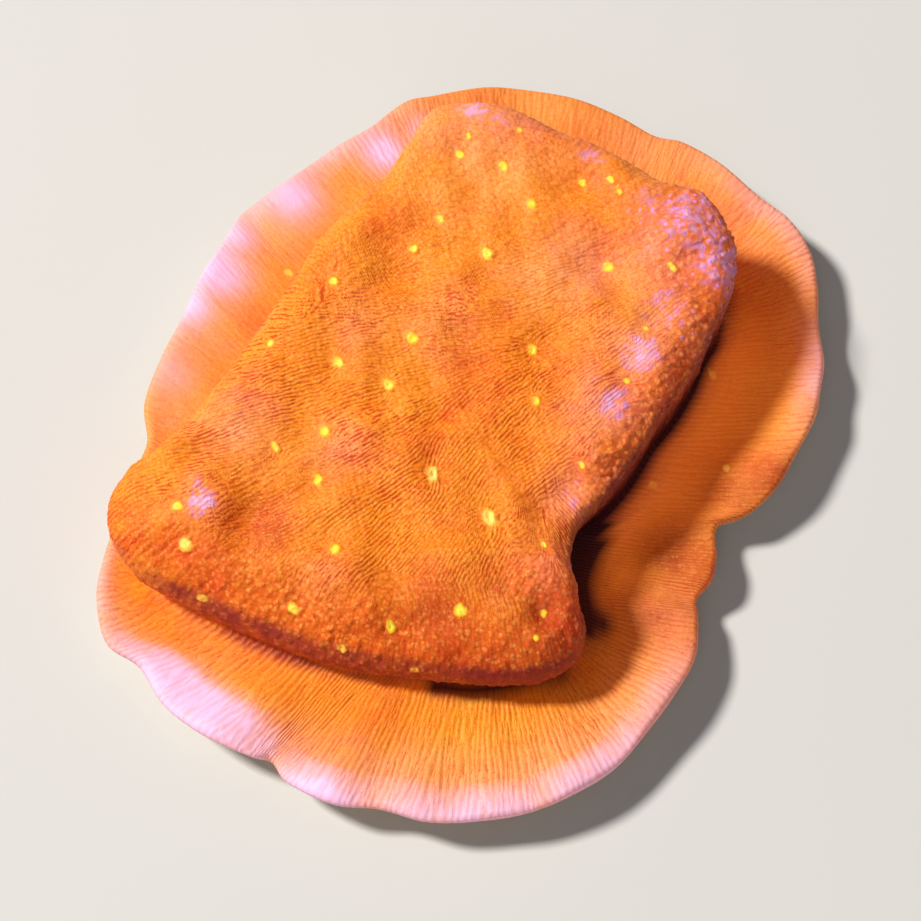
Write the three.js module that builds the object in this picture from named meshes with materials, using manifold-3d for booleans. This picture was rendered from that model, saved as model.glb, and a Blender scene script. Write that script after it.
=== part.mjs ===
// An encrusting plate coral: a lumpy four-cornered block of growth with a thin wavy skirt round its foot.
// Millimetres, +Z up. The origin is under the middle of the colony, on the flat cut it rests on.

import * as THREE from "three";
import { mergeVertices } from "three/addons/utils/BufferGeometryUtils.js";
import Module from "manifold-3d";

const columns = 118; // steps round the colony
const crownRings = 8; // steps from the middle of the crown to its rounded edge
const edgeRings = 4; // steps over the rounded edge
const wallRings = 4;
const skirtRings = 5;
const undersideRings = 3;

const crownMiddle = new THREE.Vector2(-1.5, 0.5);
const crownHeight = 10.6; // at the origin
const crownRise = 0.105; // the crown climbs toward the back
const crownLean = 0.03; // and a little toward the right
const rimThickness = 1.0;
const creaseReach = 0.7; // how softly the wall turns out into the skirt
const skirtSag = 0.35;
const foldHeight = 0.14;
const foldCount = 29;
const footShare = 0.84; // the cut foot, as a share of the wall's own outline
const footHeight = 0.9;
const cutDepth = 1.5; // growth below the flat cut, taken off at the end

// Growth lines round the colony, counter-clockwise from the right:
// rim x, rim y, rim height, then the widest line of the block, x and y.
const growth = [
  [25.2, 5.7, 3.6, 17.0, 5.4],
  [25.0, 8.6, 3.4, 17.9, 7.0],
  [25.1, 11.5, 3.5, 18.4, 9.1],
  [24.7, 14.5, 3.8, 18.5, 10.7],
  [23.2, 17.1, 4.0, 18.0, 12.3],
  [21.1, 19.1, 3.9, 17.0, 14.1],
  [18.4, 22.0, 3.7, 15.5, 15.2],
  [16.0, 23.7, 3.6, 13.6, 15.8],
  [13.9, 24.4, 3.3, 12.1, 16.8],
  [11.5, 25.8, 3.7, 10.2, 18.1],
  [8.6, 27.2, 3.7, 7.8, 19.2],
  [5.5, 28.1, 3.6, 5.4, 20.4],
  [2.5, 28.5, 3.6, 3.2, 21.5],
  [-0.1, 28.2, 3.7, 0.9, 22.2],
  [-2.6, 27.7, 3.7, -1.2, 22.2],
  [-4.7, 27.1, 3.6, -2.9, 21.3],
  [-7.3, 24.8, 3.8, -4.2, 19.3],
  [-9.9, 23.1, 3.6, -5.6, 17.0],
  [-12.5, 20.8, 3.9, -8.1, 15.0],
  [-15.3, 18.5, 3.8, -10.1, 12.6],
  [-16.5, 17.6, 3.3, -11.4, 10.6],
  [-17.6, 15.2, 3.8, -12.7, 8.4],
  [-19.1, 12.2, 4.0, -14.0, 6.3],
  [-20.2, 9.1, 3.9, -15.3, 4.2],
  [-21.6, 5.9, 3.7, -16.8, 1.9],
  [-22.6, 2.5, 3.4, -18.3, -0.4],
  [-22.3, -0.2, 3.1, -20.0, -2.5],
  [-22.7, -1.6, 2.9, -21.8, -4.3],
  [-23.3, -4.0, 2.8, -23.5, -5.7],
  [-24.3, -6.7, 2.8, -24.1, -7.5],
  [-24.9, -9.4, 3.0, -23.7, -9.6],
  [-25.1, -12.1, 3.3, -21.9, -11.9],
  [-24.2, -15.5, 3.5, -19.0, -13.4],
  [-21.9, -17.2, 3.4, -16.2, -14.6],
  [-20.1, -20.0, 3.8, -13.6, -15.8],
  [-17.3, -22.2, 4.0, -11.3, -16.8],
  [-14.3, -23.5, 3.7, -9.3, -17.5],
  [-12.9, -23.7, 3.0, -7.7, -17.9],
  [-11.8, -25.2, 3.4, -6.0, -18.2],
  [-8.8, -26.8, 3.8, -4.2, -18.5],
  [-5.7, -27.1, 3.6, -2.2, -18.8],
  [-2.6, -28.0, 3.8, -0.2, -19.0],
  [0.8, -27.9, 3.7, 1.8, -19.2],
  [3.9, -27.4, 3.8, 3.6, -19.2],
  [6.8, -26.2, 3.8, 5.2, -19.0],
  [9.7, -24.3, 3.6, 6.6, -18.3],
  [12.1, -21.5, 3.6, 7.5, -17.2],
  [14.0, -18.9, 3.8, 7.7, -15.8],
  [15.3, -16.4, 3.6, 7.3, -14.2],
  [15.6, -13.5, 3.2, 6.9, -12.9],
  [15.6, -12.1, 2.8, 6.8, -11.6],
  [16.6, -10.9, 3.2, 7.0, -10.3],
  [17.0, -9.2, 3.4, 7.6, -8.9],
  [17.2, -6.8, 2.9, 8.9, -7.5],
  [19.2, -6.1, 3.4, 10.2, -6.0],
  [21.3, -4.2, 3.8, 11.7, -3.8],
  [22.9, -1.5, 4.0, 13.1, -1.4],
  [24.3, 1.2, 3.8, 14.6, 0.6],
  [24.8, 3.4, 3.7, 16.0, 3.0],
];

// How the side of the block is shaped, by growth line: height of the widest line,
// width of the rounded edge, undercut below it and height of the crease at the skirt.
const sides = [
  { line: 2, widest: 9.8, round: 2.8, undercut: 0.6, crease: 3.2 }, // right wall, back end
  { line: 6, widest: 10.2, round: 3.0, undercut: 0.5, crease: 3.2 }, // back right corner
  { line: 12, widest: 10.4, round: 3.0, undercut: 0.3, crease: 3.3 }, // back edge
  { line: 15, widest: 9.6, round: 3.2, undercut: 0.4, crease: 3.3 }, // back left corner
  { line: 18, widest: 8.0, round: 3.4, undercut: 0.5, crease: 3.3 }, // upper left edge
  { line: 23, widest: 7.3, round: 3.8, undercut: 0.4, crease: 3.3 }, // left edge
  { line: 26, widest: 7.4, round: 3.8, undercut: 0.8, crease: 3.0 }, // notch above the left corner
  { line: 29, widest: 6.8, round: 4.6, undercut: 3.0, crease: 2.6 }, // left corner
  { line: 33, widest: 4.8, round: 5.6, undercut: -0.2, crease: 3.1 }, // front left wall
  { line: 37, widest: 4.7, round: 5.6, undercut: 0.2, crease: 3.1 },
  { line: 41, widest: 4.8, round: 5.2, undercut: 1.4, crease: 3.0 }, // front
  { line: 45, widest: 5.6, round: 4.2, undercut: 2.6, crease: 3.0 }, // front right corner
  { line: 50, widest: 8.0, round: 3.4, undercut: 1.6, crease: 3.1 },
  { line: 55, widest: 9.2, round: 2.6, undercut: 0.9, crease: 3.2 }, // right wall, front end
];

// Swellings and hollows of the crown: x, y, height (hollows below zero), spread.
const swells = [
  [9.4, 9.0, -0.75, 2.6],
  [4.8, 3.4, -0.6, 2.4],
  [8.0, 5.8, 0.45, 2.2],
  [-4.7, 8.4, -0.6, 2.8],
  [-8.0, 11.0, 0.35, 1.8],
  [-13.8, -9.0, -0.7, 2.4],
  [-18.0, -7.3, 0.55, 2.2],
  [-8.0, -13.1, 0.5, 2.3],
  [-0.8, -12.4, 0.75, 2.6],
  [-2.4, -16.0, -0.45, 2.2],
  [4.7, -12.3, 0.75, 1.9],
  [2.6, -15.3, 0.5, 1.5],
  [5.1, -15.6, -0.5, 1.2],
  [4.7, -17.6, 0.45, 1.2],
  [5.0, -9.2, -0.35, 1.8],
  [11.6, 2.6, 0.5, 2.4],
  [8.7, -3.5, 0.45, 2.0],
  [14.5, 10.6, 0.4, 2.4],
  [8.1, 14.7, -0.4, 2.2],
  [13.7, 13.6, -0.35, 1.4],
  [2.6, 18.9, 0.35, 2.4],
  [-4.5, -4.5, 0.35, 3.0],
  [-11.2, -1.0, -0.3, 2.6],
  [-0.5, 6.2, 0.3, 2.4],
  [-2.5, -0.8, -0.25, 2.0],
  [-4.4, -10.2, -0.35, 2.2],
];

// Mouths: growth line, place along the section (0 middle of the crown, 1 widest line of the block,
// 2 crease, 3 rim) and width.
const mouths = [
  [13.5, 0.76, 0.8],
  [11.7, 0.75, 1.0],
  [13.2, 0.82, 0.6],
  [11.5, 0.89, 0.6],
  [10.2, 0.67, 1.1],
  [14.5, 0.55, 0.9],
  [16.8, 0.57, 0.9],
  [11.2, 0.45, 1.2],
  [9.1, 0.82, 0.8],
  [8.3, 0.87, 0.8],
  [7.7, 0.85, 0.7],
  [5.2, 0.61, 1.1],
  [3.0, 0.77, 0.8],
  [20.2, 0.75, 0.9],
  [23.1, 0.85, 0.8],
  [19.1, 0.25, 1.1],
  [23.4, 0.5, 1.1],
  [25.2, 0.22, 1.1],
  [1.5, 0.3, 1.0],
  [55.3, 0.45, 0.8],
  [29.8, 0.36, 1.1],
  [29.6, 0.5, 0.9],
  [32.1, 0.49, 1.1],
  [39.3, 0.35, 1.3],
  [43.6, 0.49, 1.5],
  [30.3, 0.81, 0.9],
  [31.3, 0.87, 1.3],
  [34.7, 0.69, 1.1],
  [38.3, 0.89, 1.0],
  [41.0, 0.82, 1.2],
  [58.8, 0.74, 0.6],
  [56.8, 0.77, 0.6],
  [53.4, 0.83, 0.6],
  [47.1, 0.71, 0.6],
  [44.7, 0.84, 0.6],
  [43.9, 0.91, 0.6],
  [32.4, 0.98, 1.0],
  [34.5, 0.91, 1.1],
  [36.5, 0.97, 0.9],
  [39.4, 0.99, 0.9],
  [58.7, 2.1, 0.9],
  [56.2, 1.12, 0.6],
  [55.0, 2.14, 0.8],
  [19.9, 2.36, 0.9],
  [55.5, 2.6, 0.7],
];
const mouthSides = 8;

const lines = growth.length;
const rimLine = new THREE.CatmullRomCurve3(
  growth.map(([x, y, z]) => new THREE.Vector3(x, y, z)), true, "catmullrom", 0.5);
const blockLine = new THREE.CatmullRomCurve3(
  growth.map((row) => new THREE.Vector3(row[3], row[4], 0)), true, "catmullrom", 0.5);

function ease(t) {
  return t * t * (3 - 2 * t);
}

// The side's shape at any place round the colony, blended between the two sides either way.
function sideAt(u) {
  const after = sides.findIndex((side) => side.line > u);
  const next = after < 0 ? 0 : after;
  const from = sides[(next + sides.length - 1) % sides.length];
  const to = sides[next];
  const gap = (to.line - from.line + lines) % lines;
  const t = ease(((u - from.line + lines) % lines) / gap);
  const blend = (key) => THREE.MathUtils.lerp(from[key], to[key], t);
  return {
    widest: blend("widest"),
    round: blend("round"),
    undercut: blend("undercut"),
    crease: blend("crease"),
  };
}

function crownAt(x, y) {
  let z = crownHeight + crownRise * y + crownLean * x;
  for (const [sx, sy, height, spread] of swells) {
    const apart = ((x - sx) ** 2 + (y - sy) ** 2) / spread ** 2;
    z += height * Math.exp(-apart);
  }
  z += 0.1 * Math.sin(0.95 * x + 0.3 * y) * Math.cos(0.85 * y - 0.4);
  return z;
}

// The lines that one place round the colony hangs on.
function spokeAt(u) {
  const rim = rimLine.getPoint((u % lines) / lines);
  const block = blockLine.getPoint((u % lines) / lines);
  const side = sideAt(u % lines);
  const out = new THREE.Vector2(block.x - crownMiddle.x, block.y - crownMiddle.y);
  const reach = out.length();
  out.normalize();
  const crease = new THREE.Vector3(
    block.x - out.x * side.undercut, block.y - out.y * side.undercut, side.crease);
  return { rim, block, side, out, reach, crease };
}

function crownPoint(spoke, share) {
  const x = THREE.MathUtils.lerp(crownMiddle.x, spoke.block.x, share);
  const y = THREE.MathUtils.lerp(crownMiddle.y, spoke.block.y, share);
  const flat = 1 - spoke.side.round / spoke.reach;
  const over = Math.max(0, (share - flat) / (1 - flat));
  const top = crownAt(x, y);
  const drop = (top - spoke.side.widest) * (1 - Math.sqrt(Math.max(0, 1 - over * over)));
  return new THREE.Vector3(x, y, top - drop);
}

function wallPoint(spoke, t) {
  const { block, side, out, crease } = spoke;
  const start = new THREE.Vector3(block.x, block.y, side.widest);
  const down = start.clone();
  down.z -= 0.5 * (side.widest - side.crease);
  const turn = crease.clone();
  turn.x -= out.x * creaseReach;
  turn.y -= out.y * creaseReach;
  return new THREE.CubicBezierCurve3(start, down, turn, crease).getPoint(t);
}

function skirtPoint(spoke, u, t) {
  const { rim, crease } = spoke;
  const inner = rimEdge(spoke, 0);
  const point = crease.clone().lerp(inner, t);
  const fold = Math.cos((u / lines) * foldCount * 2 * Math.PI + 1.7 * Math.sin(u * 0.32));
  point.z = THREE.MathUtils.lerp(crease.z, rim.z, ease(t)) - skirtSag * Math.sin(Math.PI * t);
  point.z += foldHeight * t * fold;
  return point;
}

// A point on the rim's edge, just inside its outermost line and a depth below its top.
function rimEdge(spoke, depth) {
  const { rim, crease } = spoke;
  const inward = new THREE.Vector3(crease.x - rim.x, crease.y - rim.y, 0).normalize();
  const point = rim.clone().addScaledVector(inward, 0.45 * rimThickness);
  point.z -= depth;
  return point;
}

function undersidePoint(spoke, t) {
  const outer = rimEdge(spoke, rimThickness);
  const foot = footPoint(spoke, footHeight);
  const point = outer.clone().lerp(foot, t);
  point.z = THREE.MathUtils.lerp(outer.z, foot.z, t * t);
  return point;
}

function footPoint(spoke, height) {
  const x = THREE.MathUtils.lerp(crownMiddle.x, spoke.crease.x, footShare);
  const y = THREE.MathUtils.lerp(crownMiddle.y, spoke.crease.y, footShare);
  return new THREE.Vector3(x, y, height);
}

// One place round the colony, as a list of points from the middle of the foot, out over the
// underside and the rim, and back up over the skirt and the wall to the middle of the crown.
function sectionPoints(u) {
  const spoke = spokeAt(u);
  const flat = 1 - spoke.side.round / spoke.reach;
  const points = [
    new THREE.Vector3(crownMiddle.x, crownMiddle.y, -cutDepth),
    footPoint(spoke, -cutDepth),
  ];
  for (let i = undersideRings; i >= 0; i -= 1) {
    points.push(undersidePoint(spoke, i / undersideRings));
  }
  const edge = spoke.rim.clone();
  edge.z -= rimThickness / 2;
  points.push(edge);
  for (let i = skirtRings; i >= 1; i -= 1) {
    points.push(skirtPoint(spoke, u, i / skirtRings));
  }
  for (let i = wallRings; i >= 1; i -= 1) {
    points.push(wallPoint(spoke, i / wallRings));
  }
  for (let i = edgeRings; i >= 1; i -= 1) {
    const over = Math.sin((i / edgeRings) * (Math.PI / 2));
    points.push(crownPoint(spoke, flat + (1 - flat) * over));
  }
  for (let i = crownRings; i >= 0; i -= 1) {
    points.push(crownPoint(spoke, (flat * i) / crownRings));
  }
  return points;
}

function surfacePoint(u, place) {
  const spoke = spokeAt(u);
  if (place <= 1) {
    return crownPoint(spoke, place);
  }
  if (place <= 2) {
    return wallPoint(spoke, place - 1);
  }
  return skirtPoint(spoke, u, place - 2);
}

// A mouth: a low cone with a pit in its top, its root sunk into the growth.
function mouthGeometry(u, place, width) {
  const profile = [
    new THREE.Vector2(0, -0.35),
    new THREE.Vector2(0.72 * width, -0.35),
    new THREE.Vector2(0.36 * width, 0.28 * width),
    new THREE.Vector2(0, 0.08 * width),
  ];
  const geometry = new THREE.LatheGeometry(profile, mouthSides);
  const middle = surfacePoint(u, place);
  const along = surfacePoint(u + 0.05, place).sub(surfacePoint(u + lines - 0.05, place));
  const down = surfacePoint(u, place + 0.005).sub(surfacePoint(u, place - 0.005));
  const outward = down.cross(along).normalize();
  const turn = new THREE.Quaternion().setFromUnitVectors(new THREE.Vector3(0, 1, 0), outward);
  geometry.applyQuaternion(turn);
  geometry.translate(middle.x, middle.y, middle.z);
  return geometry;
}

// A lathe closed at both ends, with each of its sections then moved onto the coral's own.
function colonyGeometry() {
  const steps = sectionPoints(0).length;
  const profile = [];
  for (let i = 0; i < steps; i += 1) {
    const turn = (Math.PI * i) / (steps - 1);
    const atPole = i === 0 || i === steps - 1;
    profile.push(new THREE.Vector2(atPole ? 0 : Math.sin(turn), -Math.cos(turn)));
  }
  const geometry = new THREE.LatheGeometry(profile, columns);
  const position = geometry.getAttribute("position");
  for (let column = 0; column <= columns; column += 1) {
    const points = sectionPoints(((column % columns) * lines) / columns);
    points.forEach((point, i) => {
      position.setXYZ(column * steps + i, point.x, point.y, point.z);
    });
  }
  return geometry;
}

const wasm = await Module();
wasm.setup();

function solidOf(geometry) {
  const bare = geometry.clone();
  bare.deleteAttribute("normal");
  bare.deleteAttribute("uv");
  const merged = mergeVertices(bare, 1e-5);
  const index = merged.getIndex().array;
  const kept = [];
  for (let i = 0; i < index.length; i += 3) {
    const [a, b, c] = [index[i], index[i + 1], index[i + 2]];
    if (a !== b && b !== c && c !== a) {
      kept.push(a, b, c);
    }
  }
  return new wasm.Manifold(new wasm.Mesh({
    numProp: 3,
    vertProperties: new Float32Array(merged.getAttribute("position").array),
    triVerts: new Uint32Array(kept),
  }));
}

function geometryOf(solid) {
  const mesh = solid.getMesh();
  const geometry = new THREE.BufferGeometry();
  geometry.setAttribute("position", new THREE.BufferAttribute(new Float32Array(mesh.vertProperties), 3));
  geometry.setIndex(new THREE.BufferAttribute(new Uint32Array(mesh.triVerts), 1));
  geometry.computeVertexNormals();
  return geometry;
}

let colony = solidOf(colonyGeometry());

// The foot is cut off flat.
const belowCut = new THREE.BoxGeometry(80, 80, 10);
belowCut.translate(0, 0, -5);
colony = colony.subtract(solidOf(belowCut));

for (const [u, place, width] of mouths) {
  colony = colony.add(solidOf(mouthGeometry(u, place, width)));
}

const tissue = new THREE.MeshStandardMaterial({ color: 0xf0812c, roughness: 0.5, metalness: 0 });

const colonyMesh = new THREE.Mesh(geometryOf(colony), tissue);
colonyMesh.name = "colony";

const coral = new THREE.Group();
coral.add(colonyMesh);

export default coral;
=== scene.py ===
import math

import bmesh
import bpy
import numpy as np
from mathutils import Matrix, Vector


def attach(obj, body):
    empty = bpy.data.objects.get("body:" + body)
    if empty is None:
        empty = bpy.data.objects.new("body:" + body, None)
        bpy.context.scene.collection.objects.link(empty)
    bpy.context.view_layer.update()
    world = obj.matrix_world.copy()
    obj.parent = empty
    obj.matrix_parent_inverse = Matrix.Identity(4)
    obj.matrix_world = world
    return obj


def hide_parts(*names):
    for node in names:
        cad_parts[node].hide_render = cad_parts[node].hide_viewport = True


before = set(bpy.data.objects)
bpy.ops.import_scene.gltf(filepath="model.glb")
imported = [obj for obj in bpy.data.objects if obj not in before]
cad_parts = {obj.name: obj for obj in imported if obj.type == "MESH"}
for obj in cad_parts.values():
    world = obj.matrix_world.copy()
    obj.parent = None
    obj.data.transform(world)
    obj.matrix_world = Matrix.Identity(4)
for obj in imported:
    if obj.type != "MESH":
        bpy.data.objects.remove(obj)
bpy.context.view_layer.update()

mm = 0.001

# the colony's own growth lines, counter-clockwise from the right, in millimetres:
# rim x, rim y, rim height, then the widest line of the block, x and y
growth = np.array([
    [25.2, 5.7, 3.6, 17.0, 5.4], [25.0, 8.6, 3.4, 17.9, 7.0], [25.1, 11.5, 3.5, 18.4, 9.1],
    [24.7, 14.5, 3.8, 18.5, 10.7], [23.2, 17.1, 4.0, 18.0, 12.3], [21.1, 19.1, 3.9, 17.0, 14.1],
    [18.4, 22.0, 3.7, 15.5, 15.2], [16.0, 23.7, 3.6, 13.6, 15.8], [13.9, 24.4, 3.3, 12.1, 16.8],
    [11.5, 25.8, 3.7, 10.2, 18.1], [8.6, 27.2, 3.7, 7.8, 19.2], [5.5, 28.1, 3.6, 5.4, 20.4],
    [2.5, 28.5, 3.6, 3.2, 21.5], [-0.1, 28.2, 3.7, 0.9, 22.2], [-2.6, 27.7, 3.7, -1.2, 22.2],
    [-4.7, 27.1, 3.6, -2.9, 21.3], [-7.3, 24.8, 3.8, -4.2, 19.3], [-9.9, 23.1, 3.6, -5.6, 17.0],
    [-12.5, 20.8, 3.9, -8.1, 15.0], [-15.3, 18.5, 3.8, -10.1, 12.6], [-16.5, 17.6, 3.3, -11.4, 10.6],
    [-17.6, 15.2, 3.8, -12.7, 8.4], [-19.1, 12.2, 4.0, -14.0, 6.3], [-20.2, 9.1, 3.9, -15.3, 4.2],
    [-21.6, 5.9, 3.7, -16.8, 1.9], [-22.6, 2.5, 3.4, -18.3, -0.4], [-22.3, -0.2, 3.1, -20.0, -2.5],
    [-22.7, -1.6, 2.9, -21.8, -4.3], [-23.3, -4.0, 2.8, -23.5, -5.7], [-24.3, -6.7, 2.8, -24.1, -7.5],
    [-24.9, -9.4, 3.0, -23.7, -9.6], [-25.1, -12.1, 3.3, -21.9, -11.9], [-24.2, -15.5, 3.5, -19.0, -13.4],
    [-21.9, -17.2, 3.4, -16.2, -14.6], [-20.1, -20.0, 3.8, -13.6, -15.8], [-17.3, -22.2, 4.0, -11.3, -16.8],
    [-14.3, -23.5, 3.7, -9.3, -17.5], [-12.9, -23.7, 3.0, -7.7, -17.9], [-11.8, -25.2, 3.4, -6.0, -18.2],
    [-8.8, -26.8, 3.8, -4.2, -18.5], [-5.7, -27.1, 3.6, -2.2, -18.8], [-2.6, -28.0, 3.8, -0.2, -19.0],
    [0.8, -27.9, 3.7, 1.8, -19.2], [3.9, -27.4, 3.8, 3.6, -19.2], [6.8, -26.2, 3.8, 5.2, -19.0],
    [9.7, -24.3, 3.6, 6.6, -18.3], [12.1, -21.5, 3.6, 7.5, -17.2], [14.0, -18.9, 3.8, 7.7, -15.8],
    [15.3, -16.4, 3.6, 7.3, -14.2], [15.6, -13.5, 3.2, 6.9, -12.9], [15.6, -12.1, 2.8, 6.8, -11.6],
    [16.6, -10.9, 3.2, 7.0, -10.3], [17.0, -9.2, 3.4, 7.6, -8.9], [17.2, -6.8, 2.9, 8.9, -7.5],
    [19.2, -6.1, 3.4, 10.2, -6.0], [21.3, -4.2, 3.8, 11.7, -3.8], [22.9, -1.5, 4.0, 13.1, -1.4],
    [24.3, 1.2, 3.8, 14.6, 0.6], [24.8, 3.4, 3.7, 16.0, 3.0]])

# growth line, height of the widest line, width of the rounded edge, undercut, crease height
sides = np.array([
    [2, 9.8, 2.8, 0.3, 3.2], [6, 10.2, 3.0, 0.5, 3.2], [12, 10.4, 3.0, 0.3, 3.3], [15, 9.6, 3.2, 0.4, 3.3],
    [18, 8.0, 3.4, 0.5, 3.3], [23, 7.3, 3.8, 0.4, 3.3], [26, 7.4, 3.8, 0.8, 3.0], [29, 6.8, 4.6, 3.0, 2.6],
    [33, 4.8, 5.6, -0.2, 3.1], [37, 4.7, 5.6, 0.2, 3.1], [41, 4.8, 5.2, 1.4, 3.0], [45, 5.6, 4.2, 2.6, 3.0],
    [50, 8.0, 3.4, 1.2, 3.1], [55, 9.2, 2.6, 0.2, 3.2]])

# swellings and hollows of the crown: x, y, height, spread
swells = [
    [9.4, 9.0, -0.75, 2.6], [4.8, 3.4, -0.6, 2.4], [8.0, 5.8, 0.45, 2.2], [-4.7, 8.4, -0.6, 2.8],
    [-8.0, 11.0, 0.35, 1.8], [-13.8, -9.0, -0.7, 2.4], [-18.0, -7.3, 0.55, 2.2], [-8.0, -13.1, 0.5, 2.3],
    [-0.8, -12.4, 0.75, 2.6], [-2.4, -16.0, -0.45, 2.2], [4.7, -12.3, 0.75, 1.9], [2.6, -15.3, 0.5, 1.5],
    [5.1, -15.6, -0.5, 1.2], [4.7, -17.6, 0.45, 1.2], [5.0, -9.2, -0.35, 1.8], [11.6, 2.6, 0.5, 2.4],
    [8.7, -3.5, 0.45, 2.0], [14.5, 10.6, 0.4, 2.4], [8.1, 14.7, -0.4, 2.2], [13.7, 13.6, -0.35, 1.4],
    [2.6, 18.9, 0.35, 2.4], [-4.5, -4.5, 0.35, 3.0], [-11.2, -1.0, -0.3, 2.6], [-0.5, 6.2, 0.3, 2.4],
    [-2.5, -0.8, -0.25, 2.0], [-4.4, -10.2, -0.35, 2.2]]

# mouths: growth line, place (0 middle of the crown, 1 widest line, 2 crease, 3 rim), width
mouths = [
    [13.5, 0.76, 0.8], [11.7, 0.75, 1.0], [13.2, 0.82, 0.6], [11.5, 0.89, 0.6], [10.2, 0.67, 1.1],
    [14.5, 0.55, 0.9], [16.8, 0.57, 0.9], [11.2, 0.45, 1.2], [9.1, 0.82, 0.8], [8.3, 0.87, 0.8],
    [7.7, 0.85, 0.7], [5.2, 0.61, 1.1], [3.0, 0.77, 0.8], [20.2, 0.75, 0.9], [23.1, 0.85, 0.8],
    [19.1, 0.25, 1.1], [23.4, 0.5, 1.1], [25.2, 0.22, 1.1], [1.5, 0.3, 1.0], [55.3, 0.45, 0.8],
    [29.8, 0.36, 1.1], [29.6, 0.5, 0.9], [32.1, 0.49, 1.1], [39.3, 0.35, 1.3], [43.6, 0.49, 1.5],
    [30.3, 0.81, 0.9], [31.3, 0.87, 1.3], [34.7, 0.69, 1.1], [38.3, 0.89, 1.0], [41.0, 0.82, 1.2],
    [58.8, 0.74, 0.6], [56.8, 0.77, 0.6], [53.4, 0.83, 0.6], [47.1, 0.71, 0.6], [44.7, 0.84, 0.6],
    [43.9, 0.91, 0.6], [32.4, 0.98, 1.0], [34.5, 0.91, 1.1], [36.5, 0.97, 0.9], [39.4, 0.99, 0.9],
    [58.7, 2.1, 0.9], [56.2, 1.12, 0.6], [55.0, 2.14, 0.8], [19.9, 2.36, 0.9], [55.5, 2.6, 0.7]]

form = {
    "middle": (-1.5, 0.5),       # the crown's middle, mm
    "crownHeight": 10.6,
    "crownRise": 0.105,          # climb toward the back
    "crownLean": 0.03,           # and toward the right
    "crownRipple": 0.1,
    "wallDrop": 0.5,             # how far down the side bulges, as a share of its height
    "rimThickness": 1.0,
    "rimInset": 0.45,            # as a share of the rim's thickness
    "creaseReach": 0.7,
    "skirtSag": 0.35,
    "foldHeight": 0.14,
    "foldCount": 29,
    "foldDrift": (1.7, 0.32),    # how far the folds drift out of step, and how soon
    "footShare": 0.84,
    "footHeight": 0.9,
}

lineCount = len(growth)
middle = np.array(form["middle"])


def ease(t):
    return t * t * (3 - 2 * t)


def fade(x, low, high):
    return ease(np.clip((x - low) / (high - low), 0, 1))


def between(u, start, startFull, endFull, end):      # 1 along a stretch of growth lines, fading at its ends
    u = u % lineCount
    return fade(u, start, startFull) * (1 - fade(u, endFull, end))


def closedCurve(points, u):        # smooth closed curve through the points, one point per whole u
    u = np.asarray(u, float) % lineCount
    i = np.floor(u).astype(int) % lineCount
    t = (u - np.floor(u))[..., None]
    p0, p1, p2, p3 = [points[(i + k) % lineCount] for k in (-1, 0, 1, 2)]
    m1, m2 = 0.5 * (p2 - p0), 0.5 * (p3 - p1)
    return p1 + m1 * t + (3 * (p2 - p1) - 2 * m1 - m2) * t ** 2 + (2 * (p1 - p2) + m1 + m2) * t ** 3


def sideAt(u):
    u = np.asarray(u, float) % lineCount
    at = sides[:, 0]
    after = np.searchsorted(at, u, side="right") % len(at)
    before = (after - 1) % len(at)
    t = ease(((u - at[before]) % lineCount) / ((at[after] - at[before]) % lineCount))[..., None]
    return sides[before][..., 1:] * (1 - t) + sides[after][..., 1:] * t


def crownHeightAt(x, y):
    z = form["crownHeight"] + form["crownRise"] * y + form["crownLean"] * x
    for sx, sy, height, spread in swells:
        z = z + height * np.exp(-((x - sx) ** 2 + (y - sy) ** 2) / spread ** 2)
    return z + form["crownRipple"] * np.sin(0.95 * x + 0.3 * y) * np.cos(0.85 * y - 0.4)


def spokeAt(u):
    block = closedCurve(growth[:, 3:5], u)
    side = sideAt(u)
    out = block - middle
    reach = np.linalg.norm(out, axis=-1)
    out = out / reach[..., None]
    crease = np.concatenate([block - out * side[..., 2:3], side[..., 3:4]], -1)
    return {"u": np.asarray(u, float) % lineCount, "rim": closedCurve(growth[:, :3], u), "block": block,
            "widest": side[..., 0], "flat": 1 - side[..., 1] / reach, "out": out, "crease": crease}


def foldAt(spoke):                 # the waves along the rim, -1 to 1
    drift, pace = form["foldDrift"]
    return np.cos(spoke["u"] / lineCount * form["foldCount"] * 2 * np.pi + drift * np.sin(spoke["u"] * pace))


def rimEdge(spoke, depth):
    inward = (spoke["crease"] - spoke["rim"])[..., :2]
    inward = inward / np.linalg.norm(inward, axis=-1, keepdims=True)
    point = spoke["rim"].copy()
    point[..., :2] += inward * form["rimInset"] * form["rimThickness"]
    point[..., 2] -= depth
    return point


def crownPoint(spoke, share):
    xy = middle + (spoke["block"] - middle) * share[..., None]
    over = np.maximum(0, (share - spoke["flat"]) / (1 - spoke["flat"]))
    top = crownHeightAt(xy[..., 0], xy[..., 1])
    z = top - (top - spoke["widest"]) * (1 - np.sqrt(np.maximum(0, 1 - over ** 2)))
    return np.concatenate([xy, z[..., None]], -1)


def wallPoint(spoke, t):
    t = t[..., None]
    start = np.concatenate([spoke["block"], spoke["widest"][..., None]], -1)
    down = start.copy()
    down[..., 2] -= form["wallDrop"] * (spoke["widest"] - spoke["crease"][..., 2])
    turn = spoke["crease"].copy()
    turn[..., :2] -= spoke["out"] * form["creaseReach"]
    return ((1 - t) ** 3 * start + 3 * (1 - t) ** 2 * t * down + 3 * (1 - t) * t * t * turn
            + t ** 3 * spoke["crease"])


def skirtPoint(spoke, t):
    point = spoke["crease"] + (rimEdge(spoke, 0) - spoke["crease"]) * t[..., None]
    crease, rim = spoke["crease"][..., 2], spoke["rim"][..., 2]
    point[..., 2] = crease + (rim - crease) * ease(t) - form["skirtSag"] * np.sin(np.pi * t)
    point[..., 2] += form["foldHeight"] * t * foldAt(spoke)
    return point


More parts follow.
